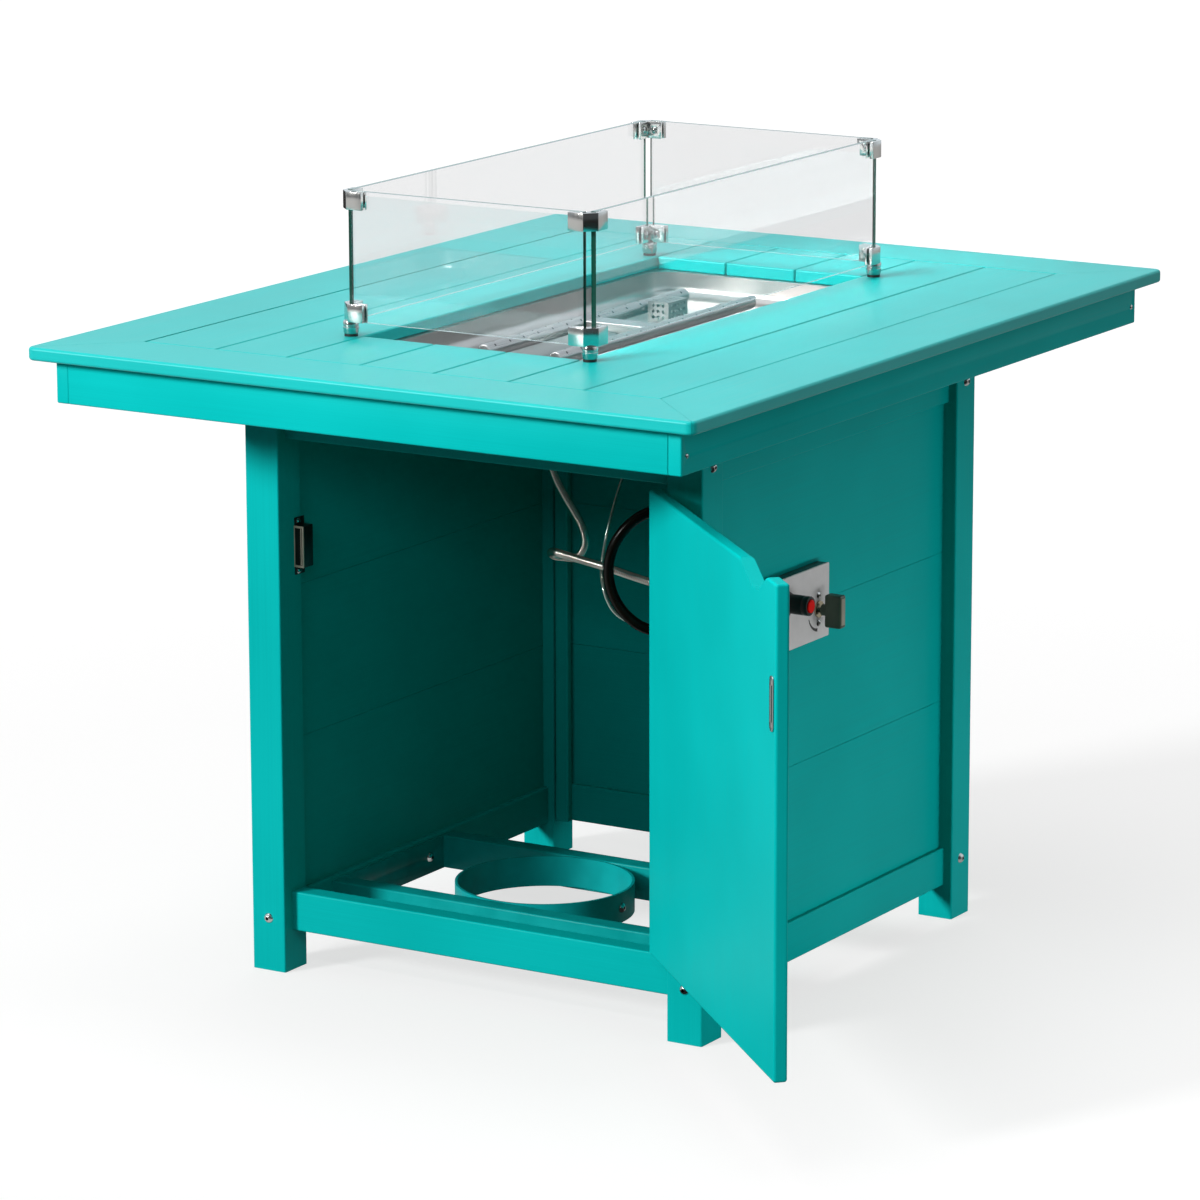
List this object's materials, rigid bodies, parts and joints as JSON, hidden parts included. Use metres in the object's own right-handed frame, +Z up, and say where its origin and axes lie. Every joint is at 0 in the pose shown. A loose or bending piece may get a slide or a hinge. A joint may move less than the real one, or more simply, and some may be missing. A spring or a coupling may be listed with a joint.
{
  "type": "fire pit table",
  "caption": "Rectangular patio fire pit table on a cabinet base with a hinged door, burner pan, gas controls, cylinder cradle and lift-off glass guard.",
  "frame": {"origin": "on the floor under the middle of the table top", "axes": "+Z up, -Y towards the door side, +X towards the side with the gas controls"},
  "size_m": [1.0173, 1.2085, 0.913],
  "materials": {
    "poly_board": "satin, fine drawn grain",
    "stainless": "brushed",
    "fastener": "polished",
    "coated_steel": "satin",
    "plate_grey": "matte",
    "dark_plastic": "satin",
    "button_red": "gloss",
    "brass": "machined",
    "regulator_grey": "cast",
    "hose_rubber": "matte",
    "wire_grey": "satin",
    "ceramic_white": "glazed",
    "clear_glass": "clear"
  },
  "bodies": {
    "table": {"apron_screws": "fastener", "aprons_end": "poly_board", "aprons_side": "poly_board", "boards_back": "poly_board", "boards_front": "poly_board", "boards_left": "poly_board", "boards_right": "poly_board", "border_back": "poly_board", "border_front": "poly_board", "border_left": "poly_board", "border_right": "poly_board", "burner": "stainless", "burner_pan": "stainless", "control_box": "dark_plastic", "control_plate": "plate_grey", "door_catch": "dark_plastic", "frame_bolts": "fastener", "gas_hose": "hose_rubber", "gas_pipe": "stainless", "hinge_frame_leaves": "stainless", "hinge_pins": "stainless", "hose_elbow": "brass", "igniter_body": "dark_plastic", "ignition_electrode": "ceramic_white", "ignition_wire": "wire_grey", "leg_back_left": "poly_board", "leg_back_right": "poly_board", "leg_front_left": "poly_board", "leg_front_right": "poly_board", "panel_back": "poly_board", "panel_battens": "poly_board", "panel_left": "poly_board", "panel_right": "poly_board", "pilot_cage": "stainless", "rails_back": "poly_board", "rails_front": "poly_board", "rails_left": "poly_board", "rails_right": "poly_board", "regulator": "regulator_grey", "tank_bolts": "fastener", "tank_cradle": "coated_steel", "tank_ring": "coated_steel", "top_battens": "poly_board", "top_bearers": "poly_board", "trim_screws": "fastener", "valve_body": "brass"},
    "door": {"door_panel": "poly_board", "door_strike": "stainless", "hinge_door_leaves": "stainless"},
    "valve_push": {"valve_plunger": "brass"},
    "knob": {"valve_knob": "dark_plastic", "valve_stem": "stainless"},
    "igniter_button": {"igniter_button": "button_red"},
    "guard": {"guard_panes": "clear_glass", "guard_clamps": "stainless", "guard_plates": "stainless", "guard_screws": "fastener", "guard_posts": "stainless", "guard_pads": "hose_rubber"},
    "hand_nut": {"regulator_nut": "dark_plastic"}
  },
  "joints": [
    {"name": "door_hinge", "type": "hinge", "parent": "table", "child": "door", "pos_m": [0.244, -0.3058, 0.36], "axis": [0, 0, 1], "range_deg": [-136, 10]},
    {"name": "valve_push", "type": "slide", "parent": "table", "child": "valve_push", "axis": [-1, 0, 0], "range_m": [0, 0.003], "stiffness_N_per_m": 800},
    {"name": "valve_turn", "type": "hinge", "parent": "valve_push", "child": "knob", "pos_m": [0.31, -0.051, 0.4405], "axis": [1, 0, 0], "range_deg": [0, 90]},
    {"name": "igniter_press", "type": "slide", "parent": "table", "child": "igniter_button", "axis": [-1, 0, 0], "range_m": [0, 0.005], "stiffness_N_per_m": 800},
    {"name": "guard_lift", "type": "slide", "parent": "table", "child": "guard", "axis": [0, 0, 1], "range_m": [0, 0.15]},
    {"name": "hand_nut_turn", "type": "hinge", "parent": "table", "child": "hand_nut", "pos_m": [0.21617, -0.08693, 0.28], "axis": [0, 0, 1], "continuous": true}
  ]
}
